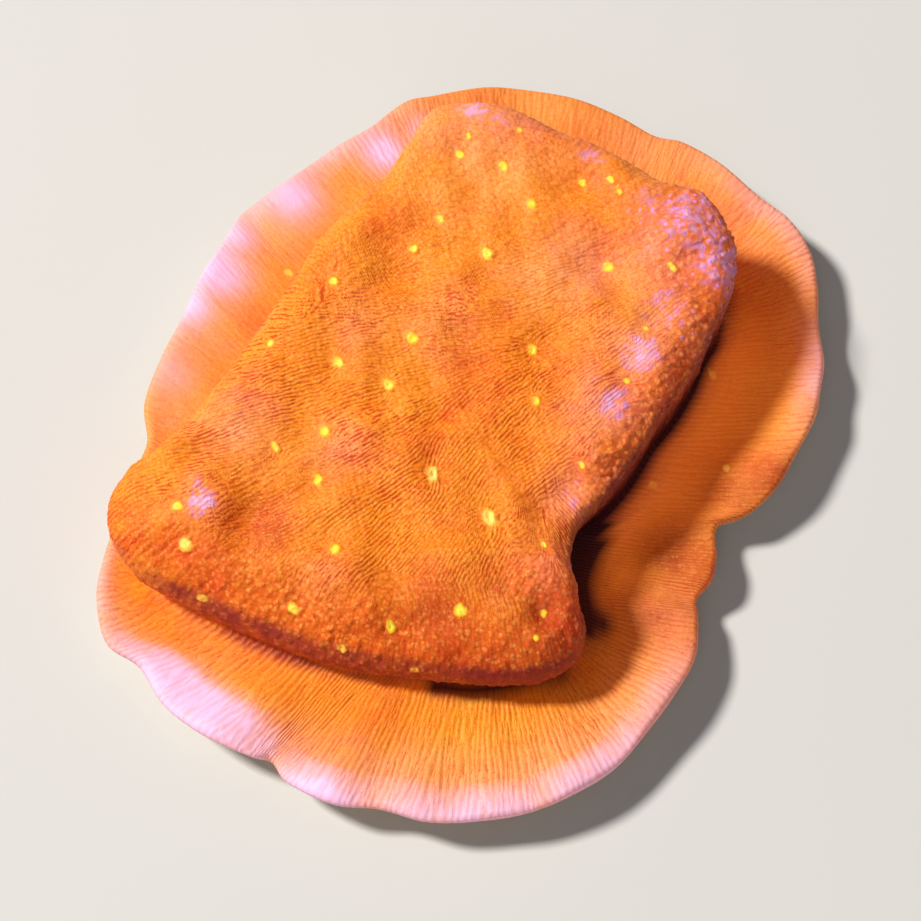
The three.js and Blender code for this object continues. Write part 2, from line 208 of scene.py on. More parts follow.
def rimPoint(spoke, turn):         # round the rim's edge, 0 its top, 1 its underside
    top, edge, under = rimEdge(spoke, 0), spoke["rim"].copy(), rimEdge(spoke, form["rimThickness"])
    edge[..., 2] -= form["rimThickness"] / 2
    top[..., 2] += form["foldHeight"] * foldAt(spoke)
    angle = (np.pi * turn)[..., None]
    centre = (top + under) / 2
    return centre + (top - centre) * np.cos(angle) + (edge - centre) * np.sin(angle)


def footPoint(spoke, height):
    xy = middle + (spoke["crease"][..., :2] - middle) * form["footShare"]
    return np.concatenate([xy, np.broadcast_to(height, xy.shape[:-1])[..., None]], -1)


def undersidePoint(spoke, t):
    outer, foot = rimPoint(spoke, np.ones_like(t)), footPoint(spoke, form["footHeight"])
    point = outer + (foot - outer) * t[..., None]
    point[..., 2] = outer[..., 2] + (foot[..., 2] - outer[..., 2]) * t * t
    return point


def bottomPoint(spoke, share):
    foot = footPoint(spoke, 0.0)
    xy = middle + (foot[..., :2] - middle) * share[..., None]
    return np.concatenate([xy, np.zeros(xy.shape[:-1])[..., None]], -1)


# place along the section: 0 to 1 crown, 2 crease, 3 rim's top, 4 rim's underside, 5 foot, 6 cut, 7 its middle
def surfacePoint(u, place):
    spoke = spokeAt(u)
    steps = [crownPoint(spoke, np.clip(place, 0, 1)), wallPoint(spoke, np.clip(place - 1, 0, 1)),
             skirtPoint(spoke, np.clip(place - 2, 0, 1)), rimPoint(spoke, np.clip(place - 3, 0, 1)),
             undersidePoint(spoke, np.clip(place - 4, 0, 1)),
             footPoint(spoke, form["footHeight"] * (1 - np.clip(place - 5, 0, 1))),
             bottomPoint(spoke, 1 - np.clip(place - 6, 0, 1))]
    point = steps[0]
    for k, step in enumerate(steps[1:], 1):
        point = np.where((place > k)[..., None], step, point)
    return point


def surfaceNormal(u, place):
    besideStep, outStep, nearMiddle = 0.02, 0.004, 0.0005
    along = surfacePoint(u + besideStep, place) - surfacePoint(u - besideStep, place)
    high, low = np.minimum(place + outStep, 7), np.maximum(place - outStep, nearMiddle)
    outward = np.cross(surfacePoint(u, high) - surfacePoint(u, low), along)
    return outward / np.maximum(np.linalg.norm(outward, axis=-1, keepdims=True), 1e-9)


# fine ridges: grown on a sheet over the crown, counted round the side and the skirt
ridgeGrowth = {
    "spacing": 0.265,            # mm between ridges on the crown
    "sheet": ((-27, 22), (-23, 26)),     # the sheet's reach in x and in y, mm
    "cell": 0.085,               # mm of the sheet
    "rounds": 4,
    "headings": 16,              # ways that the filter is turned
    "contrast": 1.5,
    "bandAcross": 0.75,          # how much the spacing may vary, and the heading
    "bandAlong": 0.95,
    "mouthPull": 2.2,            # how strongly mouths and the crown's edge turn the ridges outward
    "edgePull": 3.0,
    "sideCount": 330,            # ridges that run down the block's side
    "sideLevels": 40,
    "unevenness": 0.14,
    "forkCount": 74,             # of them, how many fork on the way to the rim
    "forkFrom": 0.02,
    "forkTo": 0.8,
    "forkBefore": 0.02,
    "forkAfter": 0.16,
    "sway": 0.035,               # how far they wander sideways, in growth lines
    "swaySize": 1.7,
    "seed": 11,
}

# the way the ridges run: x, y, degrees from +x, counter-clockwise
ridgeRun = [
    [-21.5, -8.5, 0], [-16.6, -6.0, 10], [-13.5, -4.0, 16], [-10.4, -2.6, 14], [-15.8, 0.2, 28], [-9.0, 2.8, 14],
    [-7.5, 6.2, 4], [-10.4, 9.6, 30], [-4.4, 7.0, 8], [-7.3, 13.2, 36], [-1.8, 15.4, 14], [2.2, 17.0, 2],
    [-1.4, 4.2, 4], [1.6, 3.5, 8], [1.6, -2.2, 48], [-1.6, -5.2, 60], [4.6, -0.8, 42], [7.6, -2.2, 44],
    [7.6, 3.4, 24], [10.3, 6.3, 42], [9.0, 11.0, 20], [6.3, 13.4, 2], [12.4, 14.0, 150], [11.8, 9.2, 26],
    [-7.4, -5.5, 30], [-4.4, -6.4, 36], [-4.4, -11.4, 48], [-1.4, -12.8, 60], [1.6, -12.8, 64], [4.6, -11.0, 46],
    [-7.4, -14.8, 42], [-10.4, -14.2, 34], [-13.4, -12.0, 12], [-16.6, -12.0, 8], [-4.4, -15.6, 56],
    [-1.0, -17.0, 74], [4.6, -5.6, 36], [-5.4, 1.6, 2], [14.0, 3.4, 40]]


def sideRidges(u, out):            # out is 0 at the crease and 1 at the rim; gives the ridge wave as a turning pair
    rng = np.random.default_rng(ridgeGrowth["seed"])
    count, forks, levels = ridgeGrowth["sideCount"], ridgeGrowth["forkCount"], ridgeGrowth["sideLevels"]
    widths = rng.uniform(1 - ridgeGrowth["unevenness"], 1 + ridgeGrowth["unevenness"], count)
    forkAt = np.full(count, 9.0)     # past the rim, so most never fork
    forkAt[rng.permutation(count)[:forks]] = rng.uniform(ridgeGrowth["forkFrom"], ridgeGrowth["forkTo"], forks)

    def forked(level, at):
        return fade(level, at - ridgeGrowth["forkBefore"], at + ridgeGrowth["forkAfter"])

    edges = []
    for level in np.linspace(0, 1, levels + 1):
        line = np.concatenate([[0], np.cumsum(widths * (1 + forked(level, forkAt)))])
        edges.append(line / line[-1] * lineCount)
    edges = np.array(edges)
    out = np.clip(out, 0, 1)
    row = np.minimum((out * levels).astype(int), levels - 1)
    t = out * levels - row
    at = u % lineCount
    cell = np.zeros(u.shape, int)
    for k in range(levels):
        on = row == k
        cell[on] = np.clip(np.searchsorted(edges[k], at[on], side="right") - 1, 0, count - 1)

    def sidesOf(cell):
        return [edges[row, cell + k] * (1 - t) + edges[row + 1, cell + k] * t for k in (0, 1)]

    for _ in range(3):
        low, high = sidesOf(cell)
        cell = np.clip(cell + (at >= high) - (at < low), 0, count - 1)
    low, high = sidesOf(cell)
    turn = 2 * np.pi * np.clip((at - low) / (high - low), 0, 1)
    share = forked(out, forkAt[cell])
    return -((1 - share) * np.exp(1j * turn) + share * np.exp(2j * turn))


def crownSheet():                  # the ridge wave over the crown, and the direction across the ridges
    cell, spacing = ridgeGrowth["cell"], ridgeGrowth["spacing"]
    x, y = [np.arange(*reach, cell) for reach in ridgeGrowth["sheet"]]
    gx, gy = np.meshgrid(x, y)
    # every point of the sheet in terms of growth line and share of the way out
    around = np.linspace(0, lineCount, 100 * lineCount, endpoint=False)
    ring = closedCurve(growth[:, 3:5], around) - middle
    angle = np.unwrap(np.arctan2(ring[:, 1], ring[:, 0]))
    here = np.arctan2(gy - middle[1], gx - middle[0])
    here = angle[0] + (here - angle[0]) % (2 * np.pi)
    u = np.interp(here, np.append(angle, angle[0] + 2 * np.pi), np.append(around, lineCount))
    spoke = spokeAt(u)
    share = np.hypot(gx - middle[0], gy - middle[1]) / np.linalg.norm(spoke["block"] - middle, axis=-1)
    over = np.clip((share - spoke["flat"]) / (1 - spoke["flat"]), 0, 1.3)
    # the way the ridges run, as a doubled angle
    dx, dy, total = np.zeros(gx.shape), np.zeros(gx.shape), np.zeros(gx.shape)
    for px, py, degrees in ridgeRun:
        weight = 1 / (0.5 + (gx - px) ** 2 + (gy - py) ** 2) ** 1.5
        dx += weight * math.cos(2 * math.radians(degrees))
        dy += weight * math.sin(2 * math.radians(degrees))
        total += weight
    length = np.hypot(dx, dy) + 1e-6
    dx, dy = dx / length, dy / length
    for mouthU, place, width in mouths:
        if place <= 1:
            mx, my, _ = surfacePoint(np.array(mouthU), np.array(place))
            away = np.hypot(gx - mx, gy - my)
            turn = 2 * np.arctan2(gy - my, gx - mx)
            pull = ridgeGrowth["mouthPull"] * np.exp(-(away / (0.55 + 0.48 * width)) ** 2)
            dx += pull * np.cos(turn)
            dy += pull * np.sin(turn)
    outward = np.arctan2(gy - middle[1], gx - middle[0])
    edge = ridgeGrowth["edgePull"] * fade(over, 0.1, 0.6)
    dx, dy = dx + edge * np.cos(2 * outward), dy + edge * np.sin(2 * outward)
    run = 0.5 * np.arctan2(dy, dx) % np.pi
    # ridges grow out of noise by filtering across the run, held to the side's ridges at the edge
    rng = np.random.default_rng(ridgeGrowth["seed"] + 1)
    wave = rng.standard_normal(gx.shape) + 0j
    side = sideRidges(u.ravel(), np.zeros(u.size)).reshape(u.shape)
    side = np.where(np.cos(run - outward) < 0, side.conj(), side)    # across always lies left of the run
    hold = fade(over, 0.3, 0.55)
    fx, fy = np.meshgrid(np.fft.fftfreq(len(x), cell), np.fft.fftfreq(len(y), cell))
    headings = ridgeGrowth["headings"]
    which = run / np.pi * headings
    for _ in range(ridgeGrowth["rounds"]):
        even = wave.real / np.sqrt(np.mean(wave.real ** 2))
        spectrum = np.fft.fft2(np.tanh(ridgeGrowth["contrast"] * even) * (1 - hold) + side.real * hold)
        wave = np.zeros(gx.shape, complex)
        for heading in range(headings + 1):
            a = math.pi * heading / headings
            across = -fx * math.sin(a) + fy * math.cos(a)
            along = fx * math.cos(a) + fy * math.sin(a)
            band = np.exp(-((across - 1 / spacing) / ridgeGrowth["bandAcross"]) ** 2
                          - (along / ridgeGrowth["bandAlong"]) ** 2)
            near = np.clip(1 - np.abs(which - heading), 0, 1)
            if near.any():
                wave += near * np.fft.ifft2(spectrum * band)
    wave /= np.sqrt(np.mean(np.abs(wave) ** 2))
    wave = wave * (1 - hold) + side * hold
    return x, y, [wave.real, -np.sin(run) * wave.imag, np.cos(run) * wave.imag]


def sampleSheet(x, y, sheets, px, py):
    i = np.clip((px - x[0]) / (x[1] - x[0]), 0, len(x) - 1.001)
    j = np.clip((py - y[0]) / (y[1] - y[0]), 0, len(y) - 1.001)
    i0, j0 = i.astype(int), j.astype(int)
    s, t = i - i0, j - j0
    return [(1 - s) * (1 - t) * sheet[j0, i0] + s * (1 - t) * sheet[j0, i0 + 1]
            + (1 - s) * t * sheet[j0 + 1, i0] + s * t * sheet[j0 + 1, i0 + 1] for sheet in sheets]


def softNoise(points, size, seed):   # smooth noise about -1 to 1, with features about this many mm across
    rng = np.random.default_rng(seed)
    value = np.zeros(len(points))
    waves = 28
    for _ in range(waves):
        heading = rng.standard_normal(3)
        heading /= np.linalg.norm(heading)
        value += np.cos(points @ (heading * 2 * np.pi / (size * rng.uniform(0.7, 1.6))) + rng.uniform(0, 6.28))
    return value / math.sqrt(waves / 2)


# the colony's mesh: a grid for the crown and rings round it, a second disc for the underside,
# joined at the rim and then laid onto the coral's form
colonyMesh = {
    "crownGrid": 272,                # squares along each side; four times this many columns run down the side
    "wallRings": 5,
    "skirtRings": 9,
    "edgeRings": 2,
    "cornerPull": 0.18,              # how much the grid's middle is drawn in, so that its edge lies open
    "bottomLevel": -9.0,             # where the lower disc is made, before both take the coral's form
    "bottomPlaces": [7.0, 6.75, 6.4, 6.0, 5.5, 5.0, 4.8, 4.6, 4.4, 4.2, 4.0, 3.5],
    "bottomDoubleAt": [1, 2, 8, 9],
    "edgeShare": 0.8,                # how much of the crown's rings lie on its flat part
}


def growRings(bm, placeLayer, places, doubleAt, level):
    edges = [e for e in bm.edges if e.is_boundary and abs(e.verts[0].co.z - level) < 0.1]
    for k, place in enumerate(places[1:], 2):
        if k - 1 in doubleAt:
            bmesh.ops.subdivide_edges(bm, edges=edges, cuts=1)
            for v in [v for v in bm.verts if v.is_boundary and abs(v.co.z - level) < 0.1]:
                v.co.xy = v.co.xy.normalized() * (k - 1)
                v[placeLayer] = places[k - 2]
            edges = [e for e in bm.edges if e.is_boundary and abs(e.verts[0].co.z - level) < 0.1]
        grown = bmesh.ops.extrude_edge_only(bm, edges=edges)["geom"]
        edges = [g for g in grown if isinstance(g, bmesh.types.BMEdge) and g.is_boundary]
        for v in [g for g in grown if isinstance(g, bmesh.types.BMVert)]:
            v.co.xy = v.co.xy.normalized() * k
            v[placeLayer] = place


def buildColonyMesh():
    bm = bmesh.new()
    placeLayer = bm.verts.layers.float.new("place")
    squares, pull, level = colonyMesh["crownGrid"], colonyMesh["cornerPull"], colonyMesh["bottomLevel"]
    bmesh.ops.create_grid(bm, x_segments=squares, y_segments=squares, size=1.0)
    for v in bm.verts:               # the square grid rounded out to a disc
        a, b = v.co.x, v.co.y
        reach = max(abs(a), abs(b))
        if reach > 1e-6:
            angle = math.pi / 4 * b / a if abs(a) > abs(b) else math.pi / 2 - math.pi / 4 * a / b
            sign = math.copysign(1, a if abs(a) > abs(b) else b)
            onCircle = Vector((math.cos(angle), math.sin(angle))) * reach * sign
            v.co.xy = Vector((a, b)).lerp(onCircle, reach ** 2) * (1 - pull + pull * reach ** 2)
        v[placeLayer] = min(v.co.xy.length, 1.0)
    places = [1.0]
    places += list(1 + np.linspace(0, 1, colonyMesh["wallRings"] + 1)[1:])
    places += list(2 + np.linspace(0, 1, colonyMesh["skirtRings"] + 1)[1:])
    places += list(3 + np.linspace(0, 0.5, colonyMesh["edgeRings"] + 1)[1:])
    growRings(bm, placeLayer, places, [], 0.0)
    low, doubleAt = colonyMesh["bottomPlaces"], colonyMesh["bottomDoubleAt"]
    made = bmesh.ops.create_circle(bm, cap_ends=True, cap_tris=True, radius=1.0,
                                   segments=squares * 4 // 2 ** len(doubleAt))
    for v in made["verts"]:
        v.co.z = level
        v[placeLayer] = low[0] if v.co.xy.length < 0.5 else low[1]
    growRings(bm, placeLayer, low[1:], doubleAt, level)
    rims = [v for v in bm.verts if v.is_boundary]
    for v in rims:                   # the two rims meet here
        v.co.xy = v.co.xy.normalized() * len(places)
        v.co.z = 0.0
    bmesh.ops.remove_doubles(bm, verts=rims, dist=0.02)
    bm.verts.ensure_lookup_table()
    print("colony mesh:", len(bm.verts), "points,", sum(len(f.verts) - 2 for f in bm.faces), "triangles,",
          sum(not e.is_manifold for e in bm.edges), "open edges")
    return bm, placeLayer


def trueShare(u, place):           # the crown's rings crowd toward its rounded edge
    spoke = spokeAt(u)
    part = colonyMesh["edgeShare"]
    inner = spoke["flat"] * np.clip(place / part, 0, 1)
    turn = np.clip((place - part) / (1 - part), 0, 1)
    crowded = np.where(place < part, inner, spoke["flat"] + (1 - spoke["flat"]) * np.sin(turn * np.pi / 2))
    return np.where(place <= 1, crowded, place)


def addObject(name, data):
    made = bpy.data.objects.new(name, data)
    bpy.context.scene.collection.objects.link(made)
    return made


relief = {                           # heights and sizes in mm
    "crownRidge": 0.01,
    "sideRidge": 0.05,
    "skirtRidge": 0.022,
    "grain": 0.02,
    "grainSize": 0.55,
    "beads": 0.091,
    "beadSizes": (0.8, 0.45),
    "beadShares": (0.6, 0.5),
    "lumps": 0.09,
    "lumpSize": 3.2,
    "mouthRing": 0.14,               # as a share of the mouth's width
    "mouthPit": 0.09,
    "mouthHollow": 0.17,
    "underBand": 0.07,
    "underBandCount": 26,            # the bands' turn, in radians for a whole underside
}

print("growing the crown's ridges")
sheetX, sheetY, ridgeSheets = crownSheet()

print("building the colony")
bm, placeLayer = buildColonyMesh()
place = np.array([v[placeLayer] for v in bm.verts])
flatXy = np.array([v.co.xy for v in bm.verts])
u = (np.arctan2(flatXy[:, 1], flatXy[:, 0]) / (2 * np.pi) * lineCount) % lineCount
place = trueShare(u, place)
points = surfacePoint(u, place)
normals = surfaceNormal(u, np.clip(place, 0.002, 6.999))
normals[place < 0.001] = surfaceNormal(np.array([0.0]), np.array([0.01]))
normals[place >= 5.99] = (0, 0, -1)

spoke = spokeAt(u)
over = np.clip((place - spoke["flat"]) / (1 - spoke["flat"]), 0, 1)
onTop = place <= 3.5
sway = ridgeGrowth["sway"] * softNoise(points, ridgeGrowth["swaySize"], 4)
across = np.stack([-spoke["out"][:, 1], spoke["out"][:, 0]], -1)
sideWave = sideRidges(u + sway * fade(place, 1, 1.6), place - 2)
crownWave = sampleSheet(sheetX, sheetY, ridgeSheets, points[:, 0], points[:, 1])
toSide = fade(over, 0.45, 0.62) * (place <= 1) + (place > 1)
ridge = crownWave[0] * (1 - toSide) + sideWave.real * toSide
ridgeAcross = np.stack([crownWave[1] * (1 - toSide) + sideWave.imag * across[:, 0] * toSide,
                        crownWave[2] * (1 - toSide) + sideWave.imag * across[:, 1] * toSide,
                        np.zeros(len(u))], -1)
crisp = np.sqrt(ridge ** 2 + (ridgeAcross ** 2).sum(-1)) + 1e-6
ridgeStrength = np.clip(crisp * 1.6, 0, 1) * onTop

# mouths: a low ring with a pit in it; the offset from the nearest one lets the material draw it
mouthOffset = np.full((len(u), 3), 9.0)
mouthAway = np.full(len(u), 9.0)
mouthTint, mouthFaint, mouthLift = np.zeros((3, len(u)))
for mouthU, mouthPlace, width in mouths:
    at = surfacePoint(np.array([mouthU]), np.array([mouthPlace]))[0]
    out = surfaceNormal(np.array([mouthU]), np.array([mouthPlace]))[0]
    longWay = np.array([0.45 + 0.35 * math.sin(7 * mouthU), -0.89, 0])
    longer = 1.16 + 0.14 * math.sin(13 * mouthU)
    shortWay = np.cross(out, longWay)
    shortWay /= np.linalg.norm(shortWay)
    longWay = np.cross(shortWay, out)
    offset = (points - at) @ np.stack([shortWay * longer, longWay / longer, out], -1) / width
    away = np.linalg.norm(offset, axis=1)
    closer = (away < mouthAway) & onTop
    mouthOffset[closer] = offset[closer]
    mouthAway[closer] = away[closer]
    mouthTint[closer] = 0.15 * (1 + math.sin(17 * mouthU)) + 0.6 * (width > 1.25)
    mouthFaint[closer] = 0.8 * (mouthPlace > 0.93)
    if mouthPlace < 1.05:            # those of the skirt are only colour
        mouthLift += onTop * width * (relief["mouthRing"] * np.exp(-((away - 0.2) / 0.2) ** 2)
                                      - relief["mouthPit"] * np.exp(-(away / 0.13) ** 2)
                                      - relief["mouthHollow"] * np.exp(-(away / 1.15) ** 2))
mouthMask = 1 - fade(mouthAway, 0.24, 0.4)

grain = softNoise(points, relief["grainSize"], 3)
beads = np.maximum(0, sum(softNoise(points, size, seed) * share for size, share, seed in
                          zip(relief["beadSizes"], relief["beadShares"], (5, 6))))
lumps = softNoise(points, relief["lumpSize"], 7)

# the shoulder of the right side, the front right knob and the front's lower edge are beaded
beadedSide = between(u + 8, 0.5, 3, 13, 16) * fade(place, 0.74, 0.92)
beadedShoulder = between(u + 8, 8.5, 10, 13, 16) * fade(place, 0.62, 0.85)
beadedKnob = np.exp(-((points[:, 0] - 5.0) ** 2 + (points[:, 1] + 14.5) ** 2) / 3.4 ** 2)
beadedFront = between(u, 29, 33, 47, 49) * fade(place, 0.7, 0.9)
beaded = np.maximum.reduce([beadedSide, beadedShoulder, beadedKnob, beadedFront])
beaded = beaded * (1 - fade(place, 1.3, 1.9)) * onTop

# where colours, painted highlights and painted shade lie: each place is x, y, reach in mm and strength
colourPlaces = {
    # lilac places: partly the tissue's own lilac granules, partly painted sheen where the wet tissue reflects the
    # light
    "lilacAndSheen": [
        [15.5, 12.0, 3.4, 0.75], [17.3, 9.0, 2.6, 0.85], [13.0, 13.2, 3.0, 0.5], [11.6, 2.0, 1.5, 1.0],
        [9.8, -1.4, 1.6, 0.75], [8.6, 0.4, 1.3, 0.4], [6.9, -7.8, 1.4, 0.5], [-17.6, -8.0, 1.1, 1.0],
        [-18.0, -6.6, 0.8, 0.6], [8.6, 17.0, 1.4, 0.6], [0.4, 20.6, 1.5, 0.85], [2.4, 19.6, 1.2, 0.6],
        [-15.0, -1.8, 2.2, 0.35], [13.5, 5.2, 2.4, 0.6], [7.2, -12.4, 1.3, 0.5], [6.6, 9.6, 1.6, 0.35]],
    # peach places: partly paler tissue, partly painted highlight
    "peachAndHighlight": [
        [1.5, 18.5, 5.5, 0.5], [7.6, 8.6, 2.8, 0.9], [-2.5, 20.0, 3.0, 0.5], [-13.0, 18.5, 3.6, 0.7],
        [-19.5, 8.0, 3.6, 0.6], [-21.0, 1.5, 2.6, 0.5], [-15.5, -2.5, 2.6, 0.6], [-8.5, -4.0, 2.4, 0.4],
        [12.0, 2.5, 3.4, 0.7], [5.5, -13.0, 3.0, 0.45], [-18.0, -19.5, 3.5, 0.45], [13.6, 9.4, 3.4, 0.8],
        [9.2, -2.2, 3.0, 0.75], [7.0, -7.4, 2.2, 0.6], [4.2, 7.6, 2.4, 0.5], [-9.6, -13.2, 1.8, 0.35],
        [12.6, 22.0, 4.0, 0.5], [19.8, 16.4, 3.6, 0.55], [12.2, -2.0, 2.6, 0.6], [9.6, -5.6, 2.2, 0.6],
        [5.6, -12.6, 1.6, 0.6], [15.0, 3.6, 2.4, 0.5], [-1.8, 4.6, 3.0, 0.3], [-7.3, 4.4, 2.2, 0.35],
        [4.0, 18.9, 1.8, 0.7]],
    # ruddy places: partly redder tissue, partly painted shade
    "ruddyAndShade": [
        [9.0, 23.0, 5.0, 0.5], [17.0, 17.0, 4.0, 0.5], [21.0, 8.0, 4.5, 0.5], [17.0, -4.0, 5.0, 0.5],
        [16.2, -10.2, 2.2, 1.0], [20.6, -3.4, 2.6, 0.8], [14.2, -14.6, 2.6, 0.7], [0.0, 26.5, 4.0, 0.5],
        [-3.5, -4.0, 2.8, 0.3], [-13.0, -9.6, 2.6, 0.8], [-8.6, -12.0, 3.2, 0.5], [2.4, -13.6, 3.0, 0.5],
        [-2.6, -14.4, 2.4, 0.7], [-13.6, -13.4, 2.4, 0.5], [-5.6, 10.4, 1.4, 0.5], [0.6, 1.2, 2.2, 0.3],
        [-16.6, -12.4, 2.4, 0.6], [-0.2, -9.4, 2.4, 0.45], [-14.2, -15.2, 2.2, 0.6]],
    "pink": [                        # on the skirt, where it is lit up
        [-6.2, 23.0, 1.8, 0.9], [-12.6, 18.8, 1.9, 0.9], [-17.6, 12.6, 2.2, 0.9], [-16.4, 15.6, 1.5, 0.8],
        [-19.4, 9.8, 1.6, 0.7], [-20.8, 4.6, 1.7, 0.45], [-3.4, 24.6, 1.6, 0.5]],
    "shade": [                       # dark hollows
        [14.0, -8.8, 2.3, 0.8], [14.0, -12.4, 1.3, 0.5], [20.6, -3.6, 2.4, 0.5], [4.9, -15.9, 1.1, 0.6],
        [6.6, -16.6, 2.2, 0.75], [12.6, -13.6, 1.8, 0.4], [-13.4, -9.4, 1.8, 0.35], [-1.8, -15.4, 2.6, 0.45],
        [6.3, -9.9, 1.5, 0.5], [1.6, -14.6, 1.6, 0.3], [13.4, -11.6, 1.8, 0.4], [7.0, -14.4, 1.6, 0.5],
        [-4.6, -17.8, 1.8, 0.3], [18.4, -4.6, 2.0, 0.55], [12.6, -8.4, 1.8, 0.25]],
    "unlit": [                       # parts of the right skirt without the reflected light
        [14.2, -9.8, 2.8, 1.0], [12.4, -12.8, 2.4, 1.0], [18.6, -4.8, 2.4, 0.8]],
}

# painted shadow in the dark gaps beside and below the front right knob: reach in mm and a path of x, y
shadowGapPaths = [
    (1.1, [(9.4, -4.8), (8.9, -6.6), (8.5, -8.1), (8.2, -9.6), (7.7, -11.3), (7.5, -12.8), (7.7, -13.6),
           (8.4, -14.0)]),
    (0.72, [(-1.9, -18.2), (-0.5, -18.5), (1.5, -18.7), (3.4, -18.2), (5.2, -17.6), (5.9, -17.2)])]

# pale stretches of the rim, the pale growing margin with a painted highlight: growth line, reach in lines, strength
paleStretches = [
    [19.0, 1.6, 0.35], [21.6, 1.6, 0.75], [17.0, 1.6, 0.35], [34.2, 2.0, 1.0], [36.0, 0.9, 0.6], [38.6, 1.1, 0.95],
    [41.8, 2.4, 0.7], [44.4, 1.6, 0.7], [30.5, 1.5, 0.25], [58.5, 1.6, 0.3], [46.2, 1.4, 0.35], [4.0, 2.0, 0.25]]


def spread(name):
    total = np.zeros(len(u))
    for px, py, reach, strength in colourPlaces[name]:
        apart = (points[:, 0] - px) ** 2 + (points[:, 1] - py) ** 2
        total = np.maximum(total, strength * np.exp(-apart / reach ** 2))
    return total


def stroke(reach, path):             # 1 along the path, fading out to both sides
    nearest = np.full(len(u), np.inf)
    for start, end in zip(np.array(path), np.array(path)[1:]):
        way = end - start
        along = np.clip((points[:, :2] - start) @ way / (way @ way), 0, 1)[:, None]
        nearest = np.minimum(nearest, np.linalg.norm(points[:, :2] - start - along * way, axis=1))
    return np.clip(1.7 * np.exp(-(nearest / reach) ** 2), 0, 1)


upperSide = place <= 3.6             # all above the underside, with a little over for its edge
front = between(u, 29, 32, 46, 49)
# ruddy tone with painted shade: on the crown's front slope and in the crease along the block's back and left
ruddyAndShade = np.maximum.reduce([
    spread("ruddyAndShade"), 0.35 * front * fade(place, 0.5, 0.9) * (place < 1.5),
    0.6 * between(u, 14, 17, 26, 29) * (place > 1) * (1 - fade(place, 2.1, 2.5))])
shade = np.maximum(spread("shade"), 0.4 * between(u, 38.5, 41, 47, 49) * fade(place, 0.76, 0.95) * (place < 1.5))
# the front skirt's rim: its pale growing margin with a painted highlight, laid on as peach
blush = between(u, 29, 33, 48, 52) * fade(place, 2.3, 2.95) * upperSide
peachAndHighlight = np.maximum(spread("peachAndHighlight"), 0.7 * blush)
lilacAndSheen, pink = spread("lilacAndSheen"), spread("pink")
paleAndHighlight = np.zeros(len(u))
for line, reach, strength in paleStretches:
    apart = np.abs((u - line + lineCount / 2) % lineCount - lineCount / 2)
    paleAndHighlight = np.maximum(paleAndHighlight, strength * np.exp(-(apart / reach) ** 2))
paleFrom = 2.76 - 0.26 * between(u, 31, 33.6, 34.8, 37)
paleAndHighlight = paleAndHighlight * fade(place, paleFrom, paleFrom + 0.24) * upperSide

# where the ridges are soft: the back of the crown and the skirt behind it
calm = np.where(place > 1.5, between(u, 15, 18, 24, 27) * 0.8 + between(u + 3, 6, 9, 17, 20) * 0.5,
                0.85 * fade(points[:, 1] + 0.3 * points[:, 0], 4, 15))
calm = np.maximum(calm, 0.75 * paleAndHighlight)
ridgeHeight = np.select([place <= 1, place <= 2], [relief["crownRidge"], relief["sideRidge"]], relief["skirtRidge"])
lift = ridge / crisp * ridgeStrength * ridgeHeight * (1 - 0.75 * beaded) * (1 - mouthMask) * (1 - calm)
lift += beaded * relief["beads"] * beads
lift += relief["grain"] * grain * (place <= 3)
lift += mouthLift
lift += relief["lumps"] * lumps * (place <= 1) * (1 - fade(over, 0.8, 1.0))
bands = np.sin((place - 4) * relief["underBandCount"] + 1.2 * np.sin(u * 0.9)) * relief["underBand"]
bands = bands * np.sin(np.clip((place - 3.5) / 1.5, 0, 1) * np.pi)
lift = np.select([place <= 3.5, place < 5.0], [lift, bands], 0)
rimFade = 1 - fade(place, 2.96, 3.5) * (place <= 3.5)
lift *= np.where(place > 2.9, np.maximum(rimFade, 0.0), 1)
points = points + normals * lift[:, None]

for v, p in zip(bm.verts, points * mm):
    v.co = p
bmesh.ops.triangulate(bm, faces=bm.faces, quad_method="SHORT_EDGE")
bmesh.ops.recalc_face_normals(bm, faces=bm.faces)
mesh = bpy.data.meshes.new("colonyTissue")
bm.to_mesh(mesh)
bm.free()
mesh.shade_smooth()
colony = addObject("colonyTissue", mesh)


# the dark red of the undercut side: strongest at the front and right, weaker where the photo doesn't show it
# the dark red is partly the tissue's own colour and partly painted shade under the overhang, darker toward the
# crease
rightCrease = between(u - 40, 8, 12, 26, 29)
hiddenWall = 0.45 + 0.2 * fade(place, 1.4, 2.0)
wallTone = hiddenWall + (1 - hiddenWall) * between(u - 28, 2, 5, 32, 36)
wallRedAndShade = wallTone * np.select(
    [place <= 1, place <= 2, place <= 3],
    [(0.8 + 0.2 * front) * fade(over, 0.84, 1.0 - 0.05 * front), 1.0,
     1 - fade(place, 2.0 + 0.05 * rightCrease, 2.1 + 0.08 * rightCrease)], 0)

# painted shadow, near black, in the crease at the right and the gaps
deepTo = 2.02 + 0.06 * between(u - 38, 2, 5, 11, 14)
creaseShadow = 0.9 * between(u - 38, 2, 5, 21, 24) * (1 - fade(place, deepTo, deepTo + 0.08))
gapShadow = 0.95 * np.maximum.reduce([stroke(*gap) for gap in shadowGapPaths]) * (1 - fade(place, 2.5, 2.8))
deepShadow = np.maximum(creaseShadow, gapShadow) * fade(place, 1.1, 1.5)

# light thrown back from the lit tissue: on the front's lower edge and on the shaded right skirt
litFront = 0.3 * front * np.where(place <= 1, fade(over, 0.85, 1.0), 1 - fade(place, 2.0, 2.2))
litSkirt = (between(u - 45, 3, 6, 14, 17) * (1 - spread("unlit")) * fade(place, 2.04, 2.14)
            * (1 - 0.4 * fade(place, 2.3, 2.6)) * (1 - fade(place, 2.84, 3.0)))

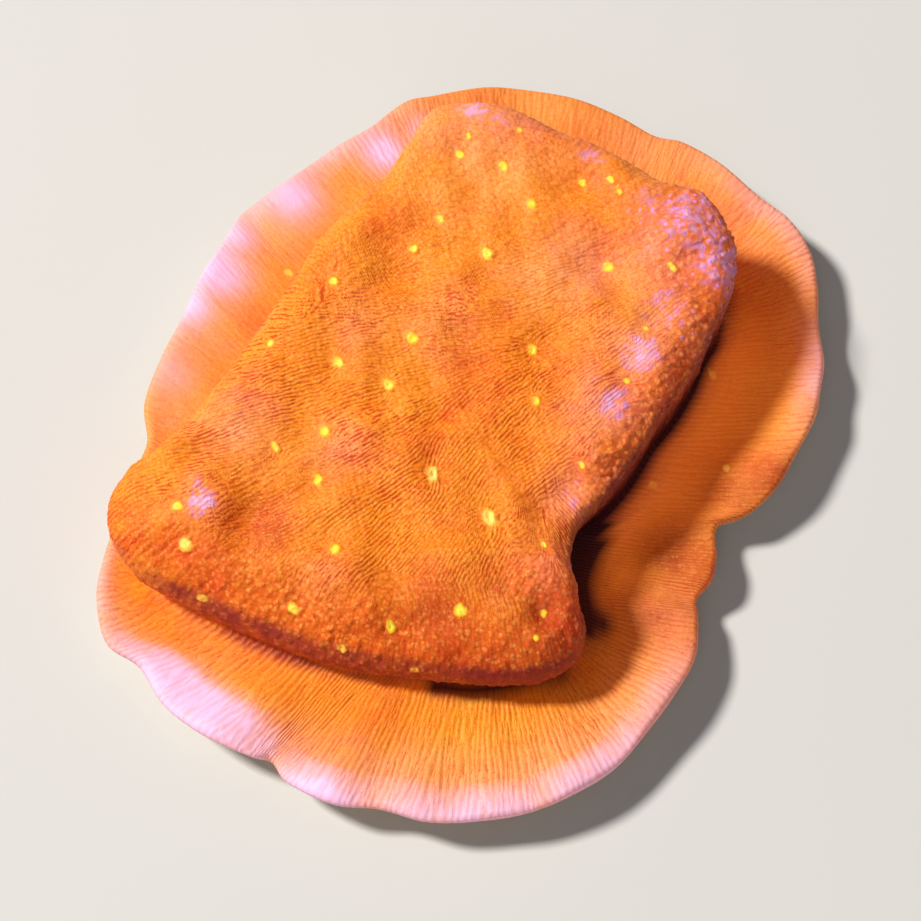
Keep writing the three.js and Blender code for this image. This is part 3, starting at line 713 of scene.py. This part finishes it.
attributes = {
    "ridge": ridge,
    "ridgeStrength": ridgeStrength,
    "ridgeAcross": ridgeAcross,
    "calm": calm,
    "beaded": beaded,
    "mouthOffset": mouthOffset,
    "mouthAway": np.minimum(mouthAway, 3),
    "mouthTint": mouthTint,
    "mouthFaint": mouthFaint,
    "peachAndHighlight": peachAndHighlight * upperSide,
    "pink": pink * (place > 2) * upperSide,
    "shade": shade * upperSide,
    "ruddyAndShade": ruddyAndShade * upperSide,
    "lilacAndSheen": lilacAndSheen * (1 - fade(place, 0.98, 1.3)),
    "paleAndHighlight": paleAndHighlight,
    "wallRedAndShade": wallRedAndShade,
    "deepShadow": deepShadow,
    "lit": (litFront + litSkirt) * (1 - np.clip(deepShadow * 1.2, 0, 1)),
    "skirt": fade(place, 1.8, 2.1),
    "rimward": fade(place, 2.4, 3.0) * upperSide,
    "under": fade(place, 3.4, 4.0),
    "cut": place > 5.6,
}
for name, values in attributes.items():
    kind, key = ("FLOAT_VECTOR", "vector") if np.ndim(values) == 2 else ("FLOAT", "value")
    layer = mesh.attributes.new(name, kind, "POINT")
    layer.data.foreach_set(key, np.asarray(values, np.float32).ravel())


# shader maths
class Wire:
    def __init__(self, tree, socket):
        self.tree = tree
        self.socket = socket

    def math(self, operation, other=None, swap=False):
        node = self.tree.nodes.new("ShaderNodeMath")
        node.operation = operation
        values = [self, other] if not swap else [other, self]
        for slot, value in zip(node.inputs, values):
            if isinstance(value, Wire):
                self.tree.links.new(value.socket, slot)
            elif value is not None:
                slot.default_value = value
        return Wire(self.tree, node.outputs[0])

    def __add__(self, other):
        return self.math("ADD", other)

    def __radd__(self, other):
        return self.math("ADD", other, True)

    def __sub__(self, other):
        return self.math("SUBTRACT", other)

    def __rsub__(self, other):
        return self.math("SUBTRACT", other, True)

    def __mul__(self, other):
        return self.math("MULTIPLY", other)

    def __rmul__(self, other):
        return self.math("MULTIPLY", other, True)

    def __truediv__(self, other):
        return self.math("DIVIDE", other)

    def __rtruediv__(self, other):
        return self.math("DIVIDE", other, True)

    def clip(self):
        return self.math("MAXIMUM", 0.0).math("MINIMUM", 1.0)

    def output(self, place):             # another output of the same node
        return Wire(self.tree, self.socket.node.outputs[place])

    def vectorMath(self, operation, other=None):
        node = self.tree.nodes.new("ShaderNodeVectorMath")
        node.operation = operation
        self.tree.links.new(self.socket, node.inputs[0])
        if isinstance(other, Wire):
            self.tree.links.new(other.socket, node.inputs[1])
        elif other is not None:
            node.inputs[1].default_value = other
        return Wire(self.tree, node.outputs["Value" if operation in ("LENGTH", "DOT_PRODUCT") else "Vector"])


class Shader:
    def __init__(self, name):
        self.material = bpy.data.materials.new(name)
        self.material.use_nodes = True
        self.tree = self.material.node_tree
        self.surface = self.tree.nodes["Principled BSDF"]

    def node(self, kind, settings=None, output=0, **inputs):
        made = self.tree.nodes.new(kind)
        for key, value in (settings or {}).items():
            setattr(made, key, value)
        for key, value in inputs.items():    # i6 is the socket numbered 6, any other key is a socket's name
            slot = made.inputs[int(key[1:])] if key[0] == "i" and key[1:].isdigit() else made.inputs[key]
            if isinstance(value, Wire):
                self.tree.links.new(value.socket, slot)
            else:
                slot.default_value = value
        return Wire(self.tree, made.outputs[output])

    def number(self, name):
        return self.node("ShaderNodeAttribute", {"attribute_name": name, "attribute_type": "GEOMETRY"}, output=2)

    def vector(self, name):
        return self.node("ShaderNodeAttribute", {"attribute_name": name, "attribute_type": "GEOMETRY"}, output=1)

    def mix(self, amount, first, second, blend="MIX"):
        return self.node("ShaderNodeMix", {"data_type": "RGBA", "blend_type": blend}, output=2,
                         i0=amount, i6=first, i7=second)

    def feed(self, name, value):
        slot = self.surface.inputs[name]
        if isinstance(value, Wire):
            self.tree.links.new(value.socket, slot)
        else:
            slot.default_value = value


def colour(red, green, blue):        # screen values 0 to 255
    linear = []
    for value in (red, green, blue):
        c = value / 255
        linear.append(c / 12.92 if c <= 0.04045 else ((c + 0.055) / 1.055) ** 2.4)
    return (*linear, 1.0)


tissueLook = {
    "orange": colour(252, 150, 22),
    "yellowOrange": colour(255, 176, 34),
    "redOrange": colour(244, 112, 22),
    "peachAndHighlight": colour(255, 176, 140),
    "ruddyAndShade": colour(226, 92, 30),
    "shade": colour(150, 52, 12),
    "groove": colour(196, 48, 4),
    "wallRedAndShade": colour(126, 16, 34),
    "deepShadow": colour(58, 6, 22),
    "mouth": colour(255, 230, 60),
    "mouthPale": colour(255, 224, 130),
    "mouthDull": colour(255, 176, 84),
    "mouthEdge": colour(255, 190, 20),
    "pink": colour(255, 160, 130),
    "lilacAndSheen": colour(238, 160, 250),
    "glare": colour(244, 214, 255),
    "violet": colour(160, 120, 255),
    "blush": colour(255, 178, 176),
    "paleAndHighlight": colour(252, 208, 250),
    "paleOrange": colour(255, 176, 96),
    "skeleton": colour(232, 214, 184),
    "skeletonDark": colour(196, 150, 108),
    "cut": colour(222, 212, 194),
    "paintedGlow": (1.0, 0.24, 0.04, 1.0),  # painted glow of the tissue, as a share of its colour
    "thrownLight": (2.1, 0.3, 0.03, 1.0),
    "lightStrength": 0.17,
    "patches": {"peachAndHighlight": (0.6, 1.6), "ruddyAndShade": (0.75, 1.2), "shade": (1.0, 1.6)},     # amount, unevenness
    "grooveShow": 0.74,
    "grooveShowSkirt": 0.58,
    "beadShow": 0.22,
    "wallShow": 0.94,
    "lilacShow": 0.85,
    "gloss": 0.25,
    "roughness": 0.56,
    "bump": 0.00006,
}

tissueGrain = {                          # scales of the noises, for coordinates in metres
    "broad": 150.0,
    "patchy": 260.0,
    "middling": 520.0,
    "dabs": 1500.0,
    "sway": 1700.0,
    "beads": 2350.0,
    "fine": 3200.0,
    "pebbles": 4300.0,
    "grit": 6800.0,
}


def swing(value, gain, level=0.0):       # a noise stretched about its middle, from 0 to 1
    return ((value - 0.5) * gain + level).clip()


def tissueMaterial():
    s = Shader("coralTissue")
    at = s.node("ShaderNodeTexCoord", output=3)

    def noise(name, detail=2.0, rough=0.5):
        return s.node("ShaderNodeTexNoise", Vector=at, Scale=tissueGrain[name], Detail=detail, Roughness=rough)

    def cells(name):
        return s.node("ShaderNodeTexVoronoi", Vector=at, Scale=tissueGrain[name])

    def over(amount, body, name):        # one of the tissue's colours laid over another
        return s.mix(amount, body, tissueLook[name])

    skirt, beaded, lilacAndSheen, paleAndHighlight = s.number("skirt"), s.number("beaded"), s.number("lilacAndSheen"), s.number("paleAndHighlight")
    wallRedAndShade, under = s.number("wallRedAndShade"), s.number("under")
    broad, middling, dabs = noise("broad"), noise("middling", 2.0, 0.6), noise("dabs", 1.0)
    fine, grit = noise("fine", 2.0, 0.65), noise("grit", 1.0)

    # the ridge wave: the mesh gives it and its quarter turn, and a noise shifts it so that the ridges wander
    real, turned = s.number("ridge"), s.vector("ridgeAcross")
    length = turned.vectorMath("LENGTH")
    sway = noise("sway", 1.0).output(1).vectorMath("SUBTRACT", (0.5, 0.5, 0.5)).vectorMath("DOT_PRODUCT", turned)
    wave = (real - sway * (7.5 - skirt * 5.2)) / ((real * real + length * length).math("SQRT") * 1.15 + 0.001)

    # mouths, from the offset to the nearest one, with ragged edges
    away = s.vector("mouthOffset").vectorMath("LENGTH")
    ragged = away - (fine - 0.5) * 0.34 - (dabs - 0.5) * 0.4
    mouth = ((0.42 - ragged) * 5.0).clip() * ((1.2 - s.number("mouthAway")) * 5.0).clip()
    mouthColour = s.mix(s.number("mouthTint").clip(), tissueLook["mouth"], tissueLook["mouthPale"])
    mouthColour = over(s.number("mouthFaint"), mouthColour, "mouthDull")
    mouthColour = over(((ragged - 0.12) * 4.5).clip() * 0.7, mouthColour, "mouthEdge")
    mouthColour = over(((0.1 - away) * 14.0).clip() * 0.3, mouthColour, "orange")

    # broken lines along the ridges' grooves, and beads
    beadNode, pebble = cells("beads"), cells("pebbles")
    beadChoice = s.node("ShaderNodeSeparateColor", Color=beadNode.output(1))
    bead = (1.0 - beadNode * 1.9).clip()
    calm = 1.0 - s.number("calm") * 0.85
    ribbed = s.number("ridgeStrength") * (1.0 - beaded * 0.75) * calm * (1.0 - mouth)
    patchy = (0.6 + (noise("patchy") - 0.5) * 3.4).math("MAXIMUM", skirt * 0.7).clip()
    breaks = ((fine - 0.5) * 6.0 + (dabs - 0.5) * 8.0) * (1.0 - skirt * 0.76)
    line = (wave * -2.4 + breaks - (1.1 + skirt * 0.2)).clip() * ribbed * patchy
    gap = ((0.5 - bead) * 2.0 + (fine - 0.5) * 2.0).clip() * beaded * 0.7
    groove = (line + gap).clip()
    crest = ((wave * 0.8 + (fine - 0.5) * 1.6).clip() * ribbed + (bead - 0.4) * beaded).clip()

    # the tissue's orange, with its broad patches, partly painted highlight and painted shade
    body = s.mix(swing(broad, 3.2, 0.5), tissueLook["redOrange"], tissueLook["yellowOrange"])
    body = s.mix(swing(middling, 2.5, 0.45), tissueLook["orange"], body)
    body = over((s.number("rimward") * 0.6).clip(), body, "paleOrange")
    for name, (amount, unevenness) in tissueLook["patches"].items():
        body = over((s.number(name) * (amount + (middling - 0.5) * unevenness)).clip(), body, name)

    # its grain: grooves, pale grains, dark specks and the beads' tops
    grooveShow, grooveShowSkirt = tissueLook["grooveShow"], tissueLook["grooveShowSkirt"]
    body = over(groove * (grooveShow - skirt * (grooveShow - grooveShowSkirt)), body, "groove")
    grains = ((fine - 0.53) * 5.0).clip() * 0.4 + ((0.42 - pebble) * 3.0).clip() * (0.5 - skirt * 0.3)
    body = over(grains * (1.0 - groove), body, "paleOrange")
    specks = ((0.48 - grit) * 6.0).clip() * 0.24 + ((pebble - 0.5) * 4.0).clip() * (0.28 - skirt * 0.2)
    body = over(specks.clip(), body, "groove")
    # the beads' tops in pink: partly the shoulder's own pink, partly a painted highlight
    body = over(((bead - 0.3) * 1.6).clip() * beaded * (tissueLook["beadShow"] + lilacAndSheen * 0.4).clip(), body, "pink")

    # the dark side, partly painted shade, and the painted shadow of the crease and gaps; the pale rim with its
    # painted highlight, the painted light of the pink places and the lilac bloom with its painted sheen
    mottled = 0.86 + (middling - 0.5) * 1.3 + (broad - 0.5) * 1.2
    # the undercut side in dark red, partly painted shade
    body = over((wallRedAndShade * mottled * (1.0 - crest * 0.45)).clip() * tissueLook["wallShow"], body, "wallRedAndShade")
    # painted shadow, near black, in the crease and the gaps
    body = over(s.number("deepShadow"), body, "deepShadow")
    body = over((paleAndHighlight * (1.1 + wave * 0.2) + (middling - 0.5) * paleAndHighlight * 1.2).clip(), body, "paleAndHighlight")
    # painted light: the lit places of the skirt in blush and pale pink
    litPinkShow = (s.number("pink") * (1.15 + (broad - 0.5) * 1.5)).clip()
    body = s.mix(litPinkShow, body, over(litPinkShow, tissueLook["blush"], "paleAndHighlight"))
    # the lilac places bloom pink, more on the crests: partly own colour, partly painted sheen
    bloomAndSheen = (lilacAndSheen * 1.3 + (middling - 0.5) * 1.6 * lilacAndSheen.math("MINIMUM", 1.0)).clip()
    body = over(bloomAndSheen * (0.25 + crest * 0.5), body, "pink")
    lilacTint = s.mix(swing(dabs, 5.0, 0.25), tissueLook["lilacAndSheen"], tissueLook["violet"])
    # painted sheen: white-lilac reflections on the lilac places
    sheenVeil = (lilacAndSheen * 1.9 + (dabs - 0.5) * 5.0 * lilacAndSheen - 0.85).clip() * (0.6 + crest * 0.4)
    body = s.mix(sheenVeil * tissueLook["lilacShow"], body, over(sheenVeil, lilacTint, "glare"))
    tipped = ((beadChoice + lilacAndSheen * 0.8 - 1.0) * 8.0).clip() * ((bead - 0.25) * 4.0).clip() * beaded
    body = s.mix(tipped * tissueLook["lilacShow"], body, lilacTint)
    body = s.mix(mouth, body, mouthColour)

    # bare skeleton underneath
    body = s.mix(under, body, s.mix(((middling - 0.45) * 4.0).clip(), tissueLook["skeleton"],
                                    tissueLook["skeletonDark"]))
    body = s.mix(s.number("cut"), body, s.mix(swing(fine, 3.0, 0.4), tissueLook["cut"], tissueLook["skeleton"]))
    s.feed("Base Color", body)

    # painted glow: the tissue and its mouths lit from within, none on the dark side or underneath, with the painted
    # thrown light over it
    light = s.mix(1.0, body, tissueLook["paintedGlow"], "MULTIPLY")
    light = s.mix(mouth * 0.8, light, mouthColour)
    light = s.mix(under.math("MAXIMUM", 0.85 * wallRedAndShade), light, (0.0, 0.0, 0.0, 1.0))
    s.feed("Emission Color", over(s.number("lit"), light, "thrownLight"))
    s.feed("Emission Strength", tissueLook["lightStrength"])
    s.feed("Roughness", (tissueLook["roughness"] + groove * 0.2 + under * 0.3 + (fine - 0.5) * 0.3).clip())
    s.feed("Specular IOR Level", tissueLook["gloss"])
    height = fine * 0.5 + grit * 0.2 + wave * ribbed * 0.45 + bead * beaded - pebble * (0.4 - skirt * 0.28)
    s.feed("Normal", s.node("ShaderNodeBump", Height=height, Strength=0.7, Distance=tissueLook["bump"]))
    return s.material


print("painting the colony")
colony.data.materials.append(tissueMaterial())
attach(colony, "root")
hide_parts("colony")

# stage, light and camera
stage = {
    "floorSize": 1.5,                # m, from its middle to its edge
    "floor": colour(226, 224, 220),
    "target": (-0.45, -3.35, 6.0),   # mm
    "distance": 174.0,
    "elevation": 65.0,
    "lens": 100.0,
    "key": {"direction": (-0.626, 0.168, 0.761), "distance": 1.2, "size": 0.2, "power": 16.0,
            "tint": (1.0, 0.97, 0.93)},
    "fill": {"direction": (-0.1, -0.9, 1.1), "distance": 0.8, "size": 0.5, "power": 0.55, "tint": (1, 1, 1)},
    "room": (0.9, 0.93, 1.0, 1),
    "roomStrength": 0.13,
}


bm = bmesh.new()
bmesh.ops.create_grid(bm, x_segments=1, y_segments=1, size=stage["floorSize"])
floorMesh = bpy.data.meshes.new("floor")
bm.to_mesh(floorMesh)
bm.free()
floor = addObject("floor", floorMesh)
floorLook = Shader("paleFloor")
floorLook.feed("Base Color", stage["floor"])
floorLook.feed("Roughness", 0.8)
floor.data.materials.append(floorLook.material)

tilt = math.radians(stage["elevation"])
camera = addObject("camera", bpy.data.cameras.new("camera"))
camera.location = (Vector(stage["target"]) * mm
                   + Vector((0, -math.cos(tilt), math.sin(tilt))) * stage["distance"] * mm)
camera.rotation_euler = (math.pi / 2 - tilt, 0, 0)
camera.data.lens = stage["lens"]
camera.data.sensor_width = 36.0
camera.data.clip_start = 0.01
bpy.context.scene.camera = camera

for name in ("key", "fill"):
    lamp = bpy.data.lights.new(name + "Light", "AREA")
    lamp.shape = "DISK"
    lamp.size = stage[name]["size"]
    lamp.energy = stage[name]["power"]
    lamp.color = stage[name]["tint"]
    direction = Vector(stage[name]["direction"])
    holder = addObject(name + "Light", lamp)
    holder.location = direction.normalized() * stage[name]["distance"]
    holder.rotation_euler = (-direction).to_track_quat("-Z", "Y").to_euler()

world = bpy.data.worlds.new("softRoom")
world.use_nodes = True
room = world.node_tree.nodes["Background"]
room.inputs["Color"].default_value = stage["room"]
room.inputs["Strength"].default_value = stage["roomStrength"]
bpy.context.scene.world = world
bpy.context.scene.view_settings.view_transform = "Standard"
